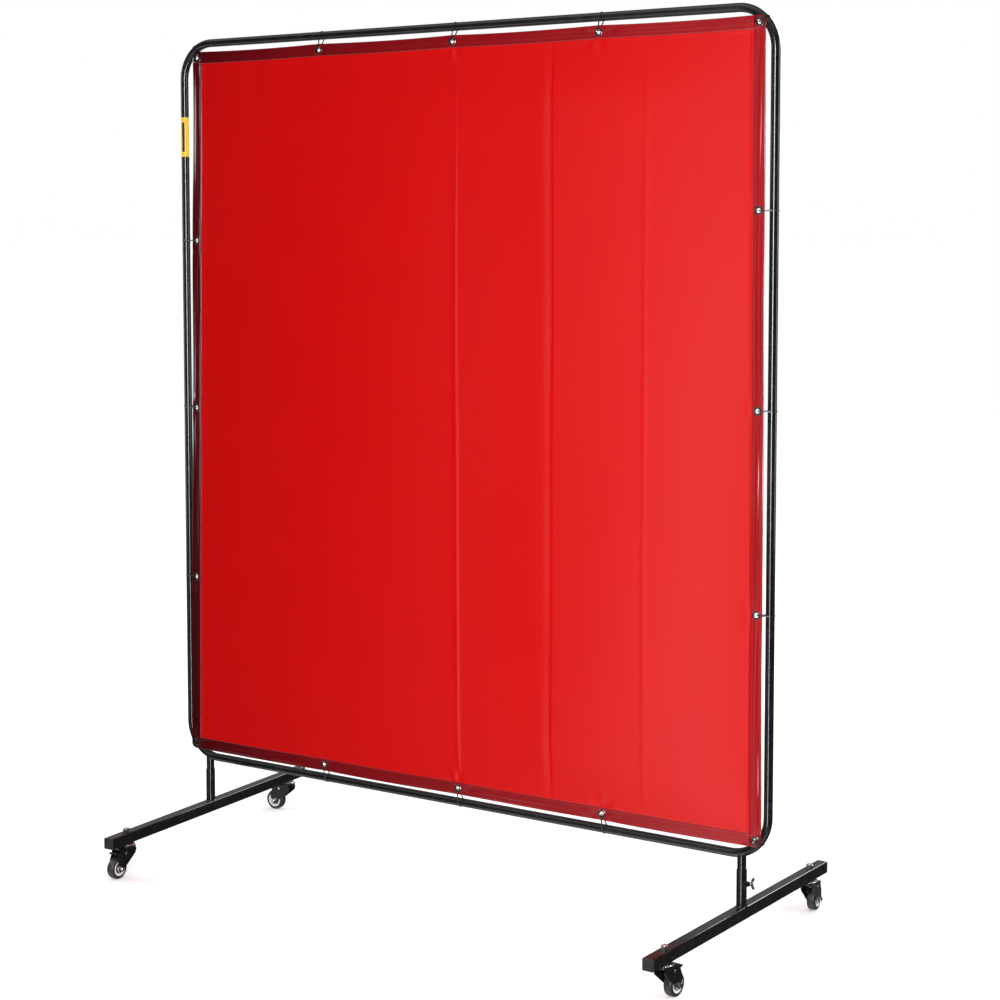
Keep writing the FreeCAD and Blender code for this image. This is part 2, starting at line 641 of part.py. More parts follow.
def caster_parts(end, side):
    """The pieces of one caster that turn with it."""
    corner = f"{end}_{side}"
    foot_turn = FreeCAD.Rotation(Z_AXIS, foot_toe[side])
    reach = caster_spacing / 2 * (-1 if end == "front" else 1)
    place = V(SIDES[side] * post_x, 0, 0) + foot_turn.multVec(V(0, reach, 0))
    own = {
        f"caster_fork_{corner}": caster_fork(),
        f"swivel_balls_{corner}": swivel_balls(),
        f"caster_pins_{corner}": caster_pins(),
        f"wheel_core_{corner}": caster_core(),
        f"wheel_tyre_{corner}": caster_tyre(),
        f"brake_pedal_{corner}": brake_pedal(),
    }
    return {name: placed(shape, caster_turn[corner], place) for name, shape in own.items()}


def main():
    parts = frame_parts()
    parts.update(curtain_parts())
    for side in SIDES:
        parts.update(foot_parts(side))
        for end in ("front", "rear"):
            parts.update(caster_parts(end, side))
    os.makedirs("parts", exist_ok=True)
    for name, shape in parts.items():
        shape.exportStep(f"parts/{name}.step")
    print(len(parts), "parts written")


main()
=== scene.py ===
import json
import math

import bmesh
import bpy
import numpy as np
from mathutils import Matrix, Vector


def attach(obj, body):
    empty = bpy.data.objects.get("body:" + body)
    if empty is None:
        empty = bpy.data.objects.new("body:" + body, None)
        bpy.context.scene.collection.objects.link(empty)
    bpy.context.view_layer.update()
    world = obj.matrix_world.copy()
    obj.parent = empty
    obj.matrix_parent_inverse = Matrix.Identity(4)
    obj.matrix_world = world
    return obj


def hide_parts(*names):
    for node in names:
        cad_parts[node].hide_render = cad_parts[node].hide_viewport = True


# Looks of a welding curtain screen, in metres. +X is the screen's width, -Y its front, +Z up.
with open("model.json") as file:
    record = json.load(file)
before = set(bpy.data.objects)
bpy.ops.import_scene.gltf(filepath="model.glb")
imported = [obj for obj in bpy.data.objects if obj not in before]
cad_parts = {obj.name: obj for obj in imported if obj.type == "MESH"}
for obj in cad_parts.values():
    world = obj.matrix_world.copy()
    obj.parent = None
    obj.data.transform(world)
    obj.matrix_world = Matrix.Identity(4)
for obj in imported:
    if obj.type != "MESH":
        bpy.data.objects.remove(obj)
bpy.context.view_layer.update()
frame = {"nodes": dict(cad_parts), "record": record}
MM = 0.001
WHITE = (1, 1, 1)


# --- materials --------------------------------------------------------------------------------
class Finish:
    """A Principled material with procedural detail. Its texture space is the object's own, in metres."""

    def __init__(self, name, color, **sockets):
        self.material = bpy.data.materials.new(name)
        self.material.use_nodes = True
        tree = self.material.node_tree
        self.nodes, self.links = tree.nodes, tree.links
        self.shader = self.nodes["Principled BSDF"]
        self.place = self.nodes.new("ShaderNodeTexCoord").outputs["Object"]
        self.set("Base Color", color)
        for socket, value in sockets.items():
            self.set(socket.replace("_", " "), value)
        self.last_normal = None

    def set(self, socket, value):
        """Puts a value, a colour or another node's output on one of the shader's sockets."""
        self.join(value, self.shader.inputs[socket])

    def join(self, value, socket):
        if isinstance(value, bpy.types.NodeSocket):
            self.links.new(value, socket)
        elif isinstance(value, tuple) and len(value) == 3 and socket.type == "RGBA":
            socket.default_value = (*value, 1)
        else:
            socket.default_value = value

    def node(self, kind, output, settings=None, **inputs):
        made = self.nodes.new("ShaderNode" + kind)
        for key, value in (settings or {}).items():
            setattr(made, key, value)
        for key, value in inputs.items():
            self.join(value, made.inputs[key.replace("_", " ")])
        return made.outputs[output]

    def stretched(self, scale):
        """The texture space scaled by three numbers."""
        made = self.nodes.new("ShaderNodeVectorMath")
        made.operation = "MULTIPLY"
        self.links.new(self.place, made.inputs[0])
        made.inputs[1].default_value = scale
        return made.outputs[0]

    def noise(self, per_metre, detail=3.0, stretch=(1, 1, 1), roughness=0.5):
        """Noise from 0 to 1 with that many features to the metre."""
        return self.node("TexNoise", "Fac", Vector=self.stretched(stretch), Scale=per_metre,
                         Detail=detail, Roughness=roughness)

    def span(self, value, low, high, to_low=0.0, to_high=1.0):
        """Maps low..high to to_low..to_high, without going past them."""
        return self.node("MapRange", "Result", Value=value, From_Min=low, From_Max=high,
                         To_Min=to_low, To_Max=to_high)

    def math(self, operation, first, second=0.0):
        made = self.nodes.new("ShaderNodeMath")
        made.operation = operation
        self.join(first, made.inputs[0])
        self.join(second, made.inputs[1])
        return made.outputs[0]

    def blend(self, share, first, second):
        """A colour between first and second."""
        made = self.nodes.new("ShaderNodeMix")
        made.data_type = "RGBA"
        self.join(share, made.inputs["Factor"])
        self.join(first, made.inputs[6])
        self.join(second, made.inputs[7])
        return made.outputs[2]

    def bump(self, height, depth):
        """Adds relief: height from 0 to 1 stands for depth, in metres."""
        made = self.nodes.new("ShaderNodeBump")
        made.inputs["Strength"].default_value = 1.0
        made.inputs["Distance"].default_value = depth
        self.links.new(height, made.inputs["Height"])
        if self.last_normal:
            self.links.new(self.last_normal, made.inputs["Normal"])
        self.last_normal = made.outputs["Normal"]
        self.set("Normal", self.last_normal)

    def along(self, axis):
        """One of the object's own coordinates, in metres."""
        return self.node("SeparateXYZ", axis, Vector=self.place)


def gloss_paint(name, color, rough, dust=0.02):
    """Black stove enamel: slight orange peel, cloudy gloss and a little dust."""
    m = Finish(name, color, Specular_IOR_Level=0.5)
    cloud = m.noise(14, 4)
    dusty = m.span(m.noise(60, 6, roughness=0.65), 0.48, 0.75)
    specks = m.span(m.noise(900, 2), 0.66, 0.74)
    m.set("Base Color", m.blend(m.math("MAXIMUM", m.math("MULTIPLY", dusty, 0.5), specks), color,
                                (dust, dust, dust * 1.03)))
    m.set("Roughness", m.span(m.math("ADD", m.math("MULTIPLY", cloud, 0.7), m.math("MULTIPLY", dusty, 0.3)),
                              0.2, 0.8, rough * 0.8, rough * 1.35))
    m.bump(m.noise(330, 2), 0.03 * MM)
    m.bump(m.noise(1500, 1), 0.004 * MM)
    return m.material


def moulded_plastic(name, color, rough, grain=0.02):
    """Moulded plastic with a fine spark-eroded grain."""
    m = Finish(name, color)
    cloud = m.noise(40, 4)
    m.set("Base Color", m.blend(m.span(cloud, 0.3, 0.75), color, tuple(c * 1.6 + 0.004 for c in color)))
    m.set("Roughness", m.span(m.noise(160, 4), 0.3, 0.7, rough * 0.85, rough * 1.2))
    m.bump(m.noise(2600, 3), grain * MM)
    return m.material


def plated_steel(name, color, rough, stain=0.75):
    """Zinc or nickel plate: bright, slightly cloudy, with fine drawing marks."""
    m = Finish(name, color, Metallic=1.0)
    cloud = m.span(m.noise(90, 5, roughness=0.6), 0.35, 0.7)
    m.set("Base Color", m.blend(cloud, color, tuple(c * stain for c in color)))
    m.set("Roughness", m.span(m.noise(700, 3, stretch=(1, 1, 6)), 0.3, 0.7, rough * 0.7, rough * 1.4))
    m.bump(m.noise(1300, 2, stretch=(1, 1, 8)), 0.006 * MM)
    return m.material


def tyre_rubber(name):
    m = Finish(name, (0.014, 0.014, 0.014))
    worn = m.span(m.noise(120, 5, roughness=0.6), 0.45, 0.7)
    m.set("Base Color", m.blend(worn, (0.012, 0.012, 0.012), (0.04, 0.038, 0.036)))
    m.set("Roughness", m.span(worn, 0, 1, 0.42, 0.62))
    m.bump(m.noise(1800, 3), 0.02 * MM)
    m.bump(m.noise(260, 2), 0.05 * MM)
    return m.material


def label_vinyl(name):
    """Yellow film around the left tube, with one plain dark bar along its front."""
    m = Finish(name, (0.66, 0.42, 0.003))
    points = vertices("tube_label")
    low, high = points.min(0), points.max(0)
    middle = (low + high) / 2
    half_bar, half_length = 3.2 * MM, (high[2] - low[2]) * 0.37
    from_bar = m.math("ABSOLUTE", m.math("SUBTRACT", m.along("X"), float(middle[0] + 2.5 * MM)))
    from_middle = m.math("ABSOLUTE", m.math("SUBTRACT", m.along("Z"), float(middle[2])))
    front = m.span(m.along("Y"), 0, 0.5 * MM, 1, 0)
    bar = m.math("MULTIPLY", m.span(from_bar, half_bar, half_bar + 0.3 * MM, 1, 0),
                 m.span(from_middle, half_length, half_length + 0.3 * MM, 1, 0))
    yellow = m.blend(m.noise(60, 3), (0.68, 0.44, 0.003), (0.60, 0.37, 0.003))
    m.set("Base Color", m.blend(m.math("MULTIPLY", bar, front), yellow, (0.012, 0.012, 0.012)))
    m.set("Roughness", m.span(m.noise(160, 4), 0.3, 0.7, 0.36, 0.48))
    m.bump(m.noise(900, 3), 0.01 * MM)
    return m.material


HUB_AND_SHADE_RADIUS = 12.5 * MM  # radius of the dark disc inside the wheel's white ring: the black hub, and painted shade over the recessed white web around it


def wheel_moulding(node):
    """White wheel centre with a dark disc for the black hub and painted shade on the recessed web, for one
    wheel: the ring is placed from the wheel's own box.
    """
    m = Finish(node + "_plastic", (0.7, 0.7, 0.69))
    points = vertices(node)
    middle = (points.min(0) + points.max(0)) / 2
    offset = m.nodes.new("ShaderNodeVectorMath")
    offset.operation = "SUBTRACT"
    m.links.new(m.place, offset.inputs[0])
    offset.inputs[1].default_value = tuple(float(c) for c in middle)
    away = m.nodes.new("ShaderNodeVectorMath")
    away.operation = "LENGTH"
    m.links.new(offset.outputs[0], away.inputs[0])
    # Painted shade: inside this radius the white turns black, for the hub and the shaded recessed web around
    # it.
    dark = m.span(away.outputs["Value"], HUB_AND_SHADE_RADIUS - 0.3 * MM, HUB_AND_SHADE_RADIUS + 0.3 * MM, 1, 0)
    white = m.blend(m.noise(90, 4), (0.72, 0.72, 0.71), (0.62, 0.62, 0.6))
    m.set("Base Color", m.blend(dark, white, (0.012, 0.012, 0.012)))
    m.set("Roughness", m.span(m.noise(160, 4), 0.3, 0.7, 0.25, 0.4))
    m.bump(m.noise(1500, 3), 0.008 * MM)
    return m.material


# --- curtain vinyl ----------------------------------------------------------------------------
def vinyl(name, left, right, rough, reach, streaks=0.05):
    """Red welding vinyl with faint upright streaks. Its colour goes from left to right, over reach in x,
    because the photographed curtain gets lighter that way under its own room's light."""
    m = Finish(name, left, Specular_IOR_Level=0.5)
    across = m.span(m.along("X"), *reach)
    cloud = m.span(m.noise(5, 3), 0.3, 0.7)
    streak = m.noise(1, 5, stretch=(70, 1, 0.8), roughness=0.6)
    # Painted light: the colour ramps from a painted shaded left end to a painted lit right end, as the room's
    # light falls on the curtain.
    painted_light_ramp = m.blend(m.math("POWER", across, 0.8), left, right)
    dark = m.span(m.math("ADD", m.math("MULTIPLY", streak, 0.7), m.math("MULTIPLY", cloud, 0.3)),
                  0.3, 0.75, 1 - streaks, 1 + streaks)
    made = m.nodes.new("ShaderNodeVectorMath")
    made.operation = "SCALE"
    m.links.new(painted_light_ramp, made.inputs[0])
    m.links.new(dark, made.inputs["Scale"])
    m.set("Base Color", made.outputs[0])
    m.set("Roughness", m.span(m.noise(7, 3, stretch=(1, 1, 0.35)), 0.3, 0.7, rough * 0.95, rough * 1.08))
    m.bump(m.noise(1, 3, stretch=(90, 1, 2.0)), 0.012 * MM)
    m.bump(m.noise(900, 2), 0.006 * MM)
    return m.material


# --- where the tied curtain is ----------------------------------------------------------------
GROMMET_MARGIN = 14 * MM  # from a grommet's centre to the cloth's edge
HEM_WIDTH = 27 * MM
HOLE_RADIUS = 6.05 * MM
CLOTH_Y = -12.5 * MM  # the middle of the hem's thickness
# Each crease: x, depth (- stands forward), widths of its left and right flanks, strength at foot and at head.
CREASES = [
    (26 * MM, -0.80 * MM, 8 * MM, 3.5 * MM, 1.0, 0.25),
    (276 * MM, 0.90 * MM, 13 * MM, 3.0 * MM, 0.8, 1.0),
    (510 * MM, -0.26 * MM, 7 * MM, 6 * MM, 0.9, 0.5),
    (-241 * MM, -0.05 * MM, 4 * MM, 3 * MM, 0.3, 1.0),
]
PANEL_TILTS = [  # x and the slope of the cloth there, as rise towards the rear per unit of width
    (-0.77, -0.010), (-0.25, -0.008), (0.024, 0.004), (0.028, 0.006), (0.20, -0.004), (0.274, -0.006),
    (0.278, 0.012), (0.50, 0.010), (0.77, 0.014),
]


def vertices(node):
    """A CAD node's vertices as an array."""
    mesh = frame["nodes"][node].data
    flat = np.empty(3 * len(mesh.vertices))
    mesh.vertices.foreach_get("co", flat)
    return flat.reshape(-1, 3)


def clusters(points, reach):
    """The centres of the groups that the points fall into."""
    centres = []
    while len(points):
        near = np.linalg.norm(points - points[0], axis=1) < reach
        centres.append((points[near].min(0) + points[near].max(0)) / 2)
        points = points[~near]
    return np.array(centres)


GROMMETS = clusters(vertices("grommets"), 25 * MM)[:, [0, 2]]


def outer_corners():
    """The cloth's corners as (x, z): lower left, lower right, upper left, upper right."""
    found = []
    for up in (-1, 1):
        for side in (-1, 1):
            grommet = GROMMETS[np.argmax(GROMMETS @ np.array([side, up]))]
            found.append(grommet + np.array([side, up]) * GROMMET_MARGIN)
    return found


LOW_LEFT, LOW_RIGHT, HIGH_LEFT, HIGH_RIGHT = outer_corners()
WIDTH = (LOW_RIGHT[0] - LOW_LEFT[0] + HIGH_RIGHT[0] - HIGH_LEFT[0]) / 2
HEIGHT = (HIGH_LEFT[1] - LOW_LEFT[1] + HIGH_RIGHT[1] - LOW_RIGHT[1]) / 2


def on_plane(u, v):
    """x and z of points given by u from the left edge and v from the lower edge of the flat cloth."""
    s, t = u / WIDTH, v / HEIGHT
    low = LOW_LEFT[:, None, None] * (1 - s) + LOW_RIGHT[:, None, None] * s
    high = HIGH_LEFT[:, None, None] * (1 - s) + HIGH_RIGHT[:, None, None] * s
    return low * (1 - t) + high * t


def edge_stops(axis, far):
    """Where the grommets of one edge are along it, from 0 to the cloth's width or height."""
    start = [LOW_LEFT, LOW_RIGHT][far] if axis else [LOW_LEFT, HIGH_LEFT][far]
    end = [HIGH_LEFT, HIGH_RIGHT][far] if axis else [LOW_RIGHT, HIGH_RIGHT][far]
    run = end - start
    length = np.linalg.norm(run)
    along = (GROMMETS - start) @ run / length ** 2
    off = np.abs((GROMMETS - start) @ np.array([run[1], -run[0]])) / length
    return np.sort(along[off < 2 * GROMMET_MARGIN]) * (HEIGHT if axis else WIDTH)


STOPS = {(axis, far): edge_stops(axis, far) for axis in (0, 1) for far in (0, 1)}


def scallop(along, stops):
    """0 at each stop and outside the outermost, rising between them as the square of their distance."""
    usual_gap = 0.4
    lower = np.clip(np.searchsorted(stops, along) - 1, 0, len(stops) - 2)
    gap = stops[lower + 1] - stops[lower]
    share = np.clip((along - stops[lower]) / gap, 0, 1)
    return 4 * share * (1 - share) * (gap / usual_gap) ** 2


def smooth(value, low, high):
    """0 below low, 1 above high, smooth between."""
    t = np.clip((value - low) / (high - low), 0, 1)
    return t * t * (3 - 2 * t)


def crease_relief(x, v):
    """The folds that the cloth keeps from its packing."""
    relief = np.zeros_like(x)
    for place, depth, left, right, at_foot, at_head in CREASES:
        wander = 1.2 * MM * np.sin(v * 3.1 + place * 40) + 0.5 * MM * np.sin(v * 9.7 + place * 11)
        off = x - place - wander
        width = np.where(off < 0, left, right)
        strength = at_foot + (at_head - at_foot) * smooth(v / HEIGHT, 0.55, 0.95)
        strength = strength * (0.85 + 0.15 * np.sin(v * 14 + place * 90))
        relief += depth * strength * np.exp(-(off / width) ** 2)
    return relief


def panel_relief(x):
    """The slight turn of each panel between two creases, as depth, back to 0 at both sides."""
    places, slopes = np.array(PANEL_TILTS).T
    grid = np.linspace(places[0], places[-1], 600)
    depth = np.concatenate([[0], np.cumsum(np.interp(grid, places, slopes)[:-1] * np.diff(grid))])
    depth -= np.linspace(0, depth[-1], len(grid))
    return np.interp(x, grid, depth)


def waves(x, z):
    """Long shallow swells."""
    rng = np.random.RandomState(11)
    total = np.zeros_like(x)
    for _ in range(9):
        across, up, phase = rng.uniform(2.0, 9.0), rng.uniform(0.5, 5.0), rng.uniform(0, 6.28)
        lean = rng.choice([-1, 1])
        total += np.sin(across * x + lean * up * z + phase) / across
    return total


def grommet_relief(x, z):
    """Small folds that run out from each tied grommet, and a mask that keeps the cloth flat on them."""
    folds, mask = np.zeros_like(x), np.ones_like(x)
    for i, (gx, gz) in enumerate(GROMMETS):
        r = np.hypot(x - gx, z - gz)
        turn = np.arctan2(z - gz, x - gx)
        ring = np.exp(-((r - 26 * MM) / (15 * MM)) ** 2)
        folds += ring * (np.cos(5 * turn + 1.7 * i) + 0.6 * np.cos(8 * turn + 2.9 * i))
        mask = mask * smooth(r, 9 * MM, 34 * MM)
    return 0.35 * MM * folds, mask


def cloth_at(u, v):
    """The cloth's middle surface at arrays u, v, which may have any equal shape with two axes."""
    pull_depth, belly_depth, belly_run = 60 * MM, 3.6 * MM, 75 * MM
    x, z = on_plane(u, v)
    bows = {(1, 0): 0.8 * MM, (1, 1): 0.6 * MM, (0, 0): -1.6 * MM, (0, 1): 3.0 * MM}
    dx = bows[1, 0] * scallop(v, STOPS[1, 0]) * np.exp(-u / pull_depth)
    dx -= bows[1, 1] * scallop(v, STOPS[1, 1]) * np.exp(-(WIDTH - u) / pull_depth)
    dz = bows[0, 0] * scallop(u, STOPS[0, 0]) * np.exp(-v / pull_depth)
    dz -= bows[0, 1] * scallop(u, STOPS[0, 1]) * np.exp(-(HEIGHT - v) / pull_depth)
    inside = np.ones_like(u)
    for gap in (u, WIDTH - u, v, HEIGHT - v):
        inside = inside * (1 - np.exp(-np.maximum(gap - HEM_WIDTH, 0) / belly_run))
    ends = smooth(np.minimum(v, HEIGHT - v), HEM_WIDTH, 0.16)
    folds, mask = grommet_relief(x, z)
    hem_edge = np.minimum(np.minimum(u, WIDTH - u), np.minimum(v, HEIGHT - v)) - HEM_WIDTH
    ripple = -0.30 * MM * np.exp(-((hem_edge - 4.5 * MM) / (2.0 * MM)) ** 2)
    depth = -belly_depth * inside + panel_relief(x) * ends + 2.2 * MM * waves(x, z) * inside
    depth += crease_relief(x, v) * ends ** 0.5 + folds + ripple
    depth = depth * mask
    return np.stack([x + dx, CLOTH_Y + depth, z + dz], axis=-1)


# --- meshes -----------------------------------------------------------------------------------
def new_piece(name, material, body, slot, points, faces, smooth_angle=40):
    """A mesh object with its material, riding on a body."""
    mesh = bpy.data.meshes.new(name)
    mesh.from_pydata([tuple(p) for p in points], [], faces)
    build = bmesh.new()
    build.from_mesh(mesh)
    bmesh.ops.recalc_face_normals(build, faces=build.faces)
    build.to_mesh(mesh)
    build.free()
    mesh.shade_smooth()
    mesh.set_sharp_from_angle(angle=math.radians(smooth_angle))
    mesh.materials.append(material)
    piece = bpy.data.objects.new(name, mesh)
    bpy.context.scene.collection.objects.link(piece)
    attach(piece, body)
    return piece


def swept(rings):
    """A closed solid through rings of 2k points each: k along its front and k back along its rear."""
    count, size = rings.shape[:2]
    faces = []
    for i in range(count - 1):
        for j in range(size):
            k = (j + 1) % size
            faces.append((i * size + j, i * size + k, (i + 1) * size + k, (i + 1) * size + j))
    for base in (0, (count - 1) * size):
        for j in range(size // 2 - 1):
            faces.append((base + j, base + j + 1, base + size - 2 - j, base + size - 1 - j))
    return rings.reshape(-1, 3), faces


def stations(length, step, inset, extra=()):
    """Places from inset to length - inset about a step apart, with extra ones."""
    even = np.linspace(inset, length - inset, int((length - 2 * inset) / step) + 1)
    return np.unique(np.round(np.concatenate([even, [e for e in extra if inset < e < length - inset]]), 5))


def curtain_sheet(material):
    """The single cloth, from just under one hem to just under the other."""
    inset = HEM_WIDTH - 3 * MM
    half_thickness = 0.25 * MM
    fine = np.array([0, 0.7, 1.5, 2.4, 3.4, 4.6, 6, 8, 10.5, 14, 19, 26]) * MM
    around_creases = []
    for place, *_ in CREASES:
        middle = (place - (LOW_LEFT[0] + HIGH_LEFT[0]) / 2)
        around_creases += list(middle + fine) + list(middle - fine)
    near_hem = [HEM_WIDTH + s for s in np.array([0, 1.2, 2.4, 3.6, 4.8, 6.2, 8, 12, 18, 26]) * MM]
    u = stations(WIDTH, 10 * MM, inset, around_creases + near_hem + [WIDTH - s for s in near_hem])
    v = stations(HEIGHT, 12 * MM, inset, near_hem + [HEIGHT - s for s in near_hem])
    uu, vv = np.meshgrid(u, v)
    middle = cloth_at(uu, vv)
    offset = np.array([0, half_thickness, 0])
    rings = np.concatenate([middle - offset, (middle + offset)[:, ::-1]], axis=1)
    return new_piece("curtain_cloth", material, "frame", "red_sheet", *swept(rings))


# The hem's section, with a rolled bead inside: distance from its inner edge, and height off the cloth, in mm.
HEM_PROFILE = np.array([
    (-1.1, 0.28), (-0.85, 0.62), (-0.4, 1.02), (0.3, 1.38), (1.2, 1.55), (2.2, 1.50), (3.4, 1.25),
    (4.6, 1.04), (6.0, 0.92), (7.5, 0.86), (9.0, 0.83), (10.5, 0.82), (12.0, 0.81), (13.5, 0.80),
    (15.0, 0.80), (16.5, 0.80), (18.0, 0.80), (19.5, 0.80), (21.0, 0.80), (22.5, 0.80), (23.7, 0.79),
    (24.8, 0.76), (25.8, 0.66), (26.6, 0.42), (27.0, 0.0),
]) * MM
# How deep the long pleats are in the hem of each edge (axis, far).
PLEATS = {(0, 0): 0.30 * MM, (0, 1): 0.22 * MM, (1, 0): 0.10 * MM, (1, 1): 0.36 * MM}


def hem(name, axis, far, material):
    """A doubled hem along one edge. axis: 0 along the width, 1 along the height. far: 1 at the far edge."""
    along_size, across_size = (HEIGHT, WIDTH) if axis else (WIDTH, HEIGHT)
    inset = 19 * MM if axis else 11 * MM
    along = stations(along_size, 6 * MM, inset)
    across, height = HEM_PROFILE.T
    gap_from_edge = HEM_WIDTH - across
    stops = STOPS[axis, far]
    loose = np.sqrt(np.clip(scallop(along, stops), 0, 1)) if len(stops) else np.zeros_like(along)
    loose = loose * smooth(np.minimum(along, along_size - along), 30 * MM, 60 * MM)
    breath = 0.75 + 0.25 * np.sin(along * 21 + 3 * axis + far)
    swell = 1.05 * MM * (loose * breath)[:, None] * np.sin(np.pi * np.clip(across / HEM_WIDTH, 0, 1)) ** 2
    position = across_size - gap_from_edge if far else gap_from_edge
    a, b = np.meshgrid(along, position, indexing="ij")
    middle = cloth_at(b, a) if axis else cloth_at(a, b)
    wander = (1.6 * np.sin(along * 5.3 + far) + 2.2 * np.sin(along * 2.1 + axis))[:, None]
    inside = smooth(across, 3 * MM, 8 * MM) * (1 - smooth(across, 20 * MM, 26 * MM))
    pleat = PLEATS[axis, far] * (0.3 + 0.7 * loose[:, None])
    pleat = pleat * np.sin(across * 2 * np.pi / (10.5 * MM) + wander)
    lift = height[None, :] + swell + pleat * inside
    curl = 1.5 * MM * loose[:, None] * (across / HEM_WIDTH)[None, :] ** 2 * np.sin(along * 9 + far)[:, None]
    front, rear = middle.copy(), middle.copy()
    front[..., 1] += curl - lift
    rear[..., 1] += curl + height[None, :]
    rings = np.concatenate([front, rear[:, ::-1]], axis=1)
    piece = new_piece(name, material, "frame", "red_hem", *swept(rings))
    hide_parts(name.replace("folded_", ""))
    return piece


def corner_patch(name, right, up, material):
    """The square where two hems lie on each other, with its outer corner cut off."""
    size, cut, nick = HEM_WIDTH + 0.6 * MM, 9.5 * MM, 1.2 * MM
    outline = [(cut, 0), (size - nick, 0), (size, nick), (size, size - nick), (size - nick, size),
               (nick, size), (0, size - nick), (0, cut)]
    thick = 1.02 * MM
    rings = []
    for shrink, lift in ((0.45 * MM, -thick), (0.1 * MM, -thick + 0.15 * MM), (0, -thick + 0.5 * MM),
                         (0, thick - 0.5 * MM), (0.1 * MM, thick - 0.15 * MM), (0.45 * MM, thick)):
        centre = np.array([size / 2, size / 2])
        ring = np.array(outline)
        ring = centre + (ring - centre) * (1 - shrink / (size / 2))
        u = WIDTH - ring[:, 0] if right else ring[:, 0]
        v = HEIGHT - ring[:, 1] if up else ring[:, 1]
        points = cloth_at(u[:, None], v[:, None])[:, 0]
        points[:, 1] = CLOTH_Y + lift
        rings.append(points)
    count = len(outline)
    faces = [tuple(range(count)), tuple(range(5 * count, 6 * count))]
    for i in range(5):
        for j in range(count):
            k = (j + 1) % count
            faces.append((i * count + j, i * count + k, (i + 1) * count + k, (i + 1) * count + j))
    return new_piece(name, material, "frame", "red_hem", np.concatenate(rings), faces, smooth_angle=30)


def punch(pieces):
    """Cuts the grommets' holes through the pieces."""
    sides, depth = 40, 12 * MM
    cutter_points, cutter_faces = [], []
    for gx, gz in GROMMETS:
        base = len(cutter_points)
        for y in (CLOTH_Y - depth, CLOTH_Y + depth):
            for i in range(sides):
                angle = 2 * math.pi * i / sides
                cutter_points.append((gx + HOLE_RADIUS * math.cos(angle), y,
                                      gz + HOLE_RADIUS * math.sin(angle)))
        cutter_faces.append(tuple(range(base, base + sides)))
        cutter_faces.append(tuple(range(base + 2 * sides - 1, base + sides - 1, -1)))
        for i in range(sides):
            k = (i + 1) % sides
            cutter_faces.append((base + i, base + k, base + sides + k, base + sides + i))
    mesh = bpy.data.meshes.new("punch")
    mesh.from_pydata(cutter_points, [], cutter_faces)
    build = bmesh.new()
    build.from_mesh(mesh)
    bmesh.ops.recalc_face_normals(build, faces=build.faces)
    build.to_mesh(mesh)
    build.free()
    cutter = bpy.data.objects.new("punch", mesh)
    bpy.context.scene.collection.objects.link(cutter)
    for piece in pieces:
        cut = piece.modifiers.new("holes", "BOOLEAN")
        cut.object = cutter
        cut.operation = "DIFFERENCE"
        cut.solver = "EXACT"
        graph = bpy.context.evaluated_depsgraph_get()
        done = bpy.data.meshes.new_from_object(piece.evaluated_get(graph))
        piece.modifiers.clear()
        piece.data = done
        done.shade_smooth()
        done.set_sharp_from_angle(angle=math.radians(40))
    bpy.data.objects.remove(cutter)


# --- build ------------------------------------------------------------------------------------
# Painted light: each of these colours runs from a painted shaded left end to a painted lit right end. The hem
# and corner patch are darker than the sheet, partly as thicker vinyl and partly as painted shade for the
# light that comes through the doubled vinyl less.
red_sheet = vinyl("red_sheet_vinyl_painted_light", (0.345, 0.0008, 0.001), (0.475, 0.001, 0.0014), 0.12, (-0.77, 0.50),
                  streaks=0.03)
red_hem = vinyl("red_hem_vinyl_painted_light", (0.034, 0.0004, 0.0018), (0.26, 0.002, 0.005), 0.14, (-0.79, 0.79),
                streaks=0.12)
red_patch = vinyl("red_patch_vinyl_painted_light", (0.013, 0.0003, 0.001), (0.12, 0.001, 0.003), 0.14, (-0.79, 0.79),
                  streaks=0.15)

cloth = curtain_sheet(red_sheet)
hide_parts("curtain_sheet")
hems = [hem("folded_hem_bottom", 0, 0, red_hem), hem("folded_hem_top", 0, 1, red_hem),
        hem("folded_hem_left", 1, 0, red_hem), hem("folded_hem_right", 1, 1, red_hem)]
patches = [corner_patch(f"hem_corner_{level}_{side}", side == "right", level == "top", red_patch)
           for level in ("bottom", "top") for side in ("left", "right")]
punch(hems + patches)

# --- materials of the CAD nodes ---------------------------------------------------------------
tube_paint = gloss_paint("tube_enamel", (0.004, 0.004, 0.0045), 0.17)
foot_paint = gloss_paint("foot_enamel", (0.0045, 0.0045, 0.005), 0.2)
fork_paint = gloss_paint("fork_enamel", (0.005, 0.005, 0.005), 0.24)
cap_plastic = moulded_plastic("cap_plastic", (0.008, 0.008, 0.0085), 0.4)
tie_nylon = moulded_plastic("tie_nylon", (0.008, 0.008, 0.008), 0.34, 0.01)
zinc = plated_steel("zinc_plate", (0.62, 0.62, 0.6), 0.26)
bright = plated_steel("bright_plate", (0.7, 0.7, 0.69), 0.14)
eyelet = plated_steel("eyelet_plate", (0.10, 0.085, 0.085), 0.2)
tyre = tyre_rubber("tyre_rubber")
label_film = label_vinyl("label_film")
SLOT_MATERIALS = {
    "black_tube": tube_paint, "black_foot": foot_paint, "black_fork": fork_paint,
    "black_plastic": cap_plastic, "black_nylon": tie_nylon,
    "zinc_steel": zinc, "bright_steel": bright, "grommet_metal": eyelet,
    "red_sheet": red_sheet, "red_hem": red_hem, "yellow_label": label_film, "black_tyre": tyre,
}
for part in frame["record"]["subparts"]:
    node, slot = part["node"], part["material_slot"]
    data = frame["nodes"][node].data
    data.materials.clear()
    data.materials.append(wheel_moulding(node) if slot == "white_plastic" else SLOT_MATERIALS[slot])

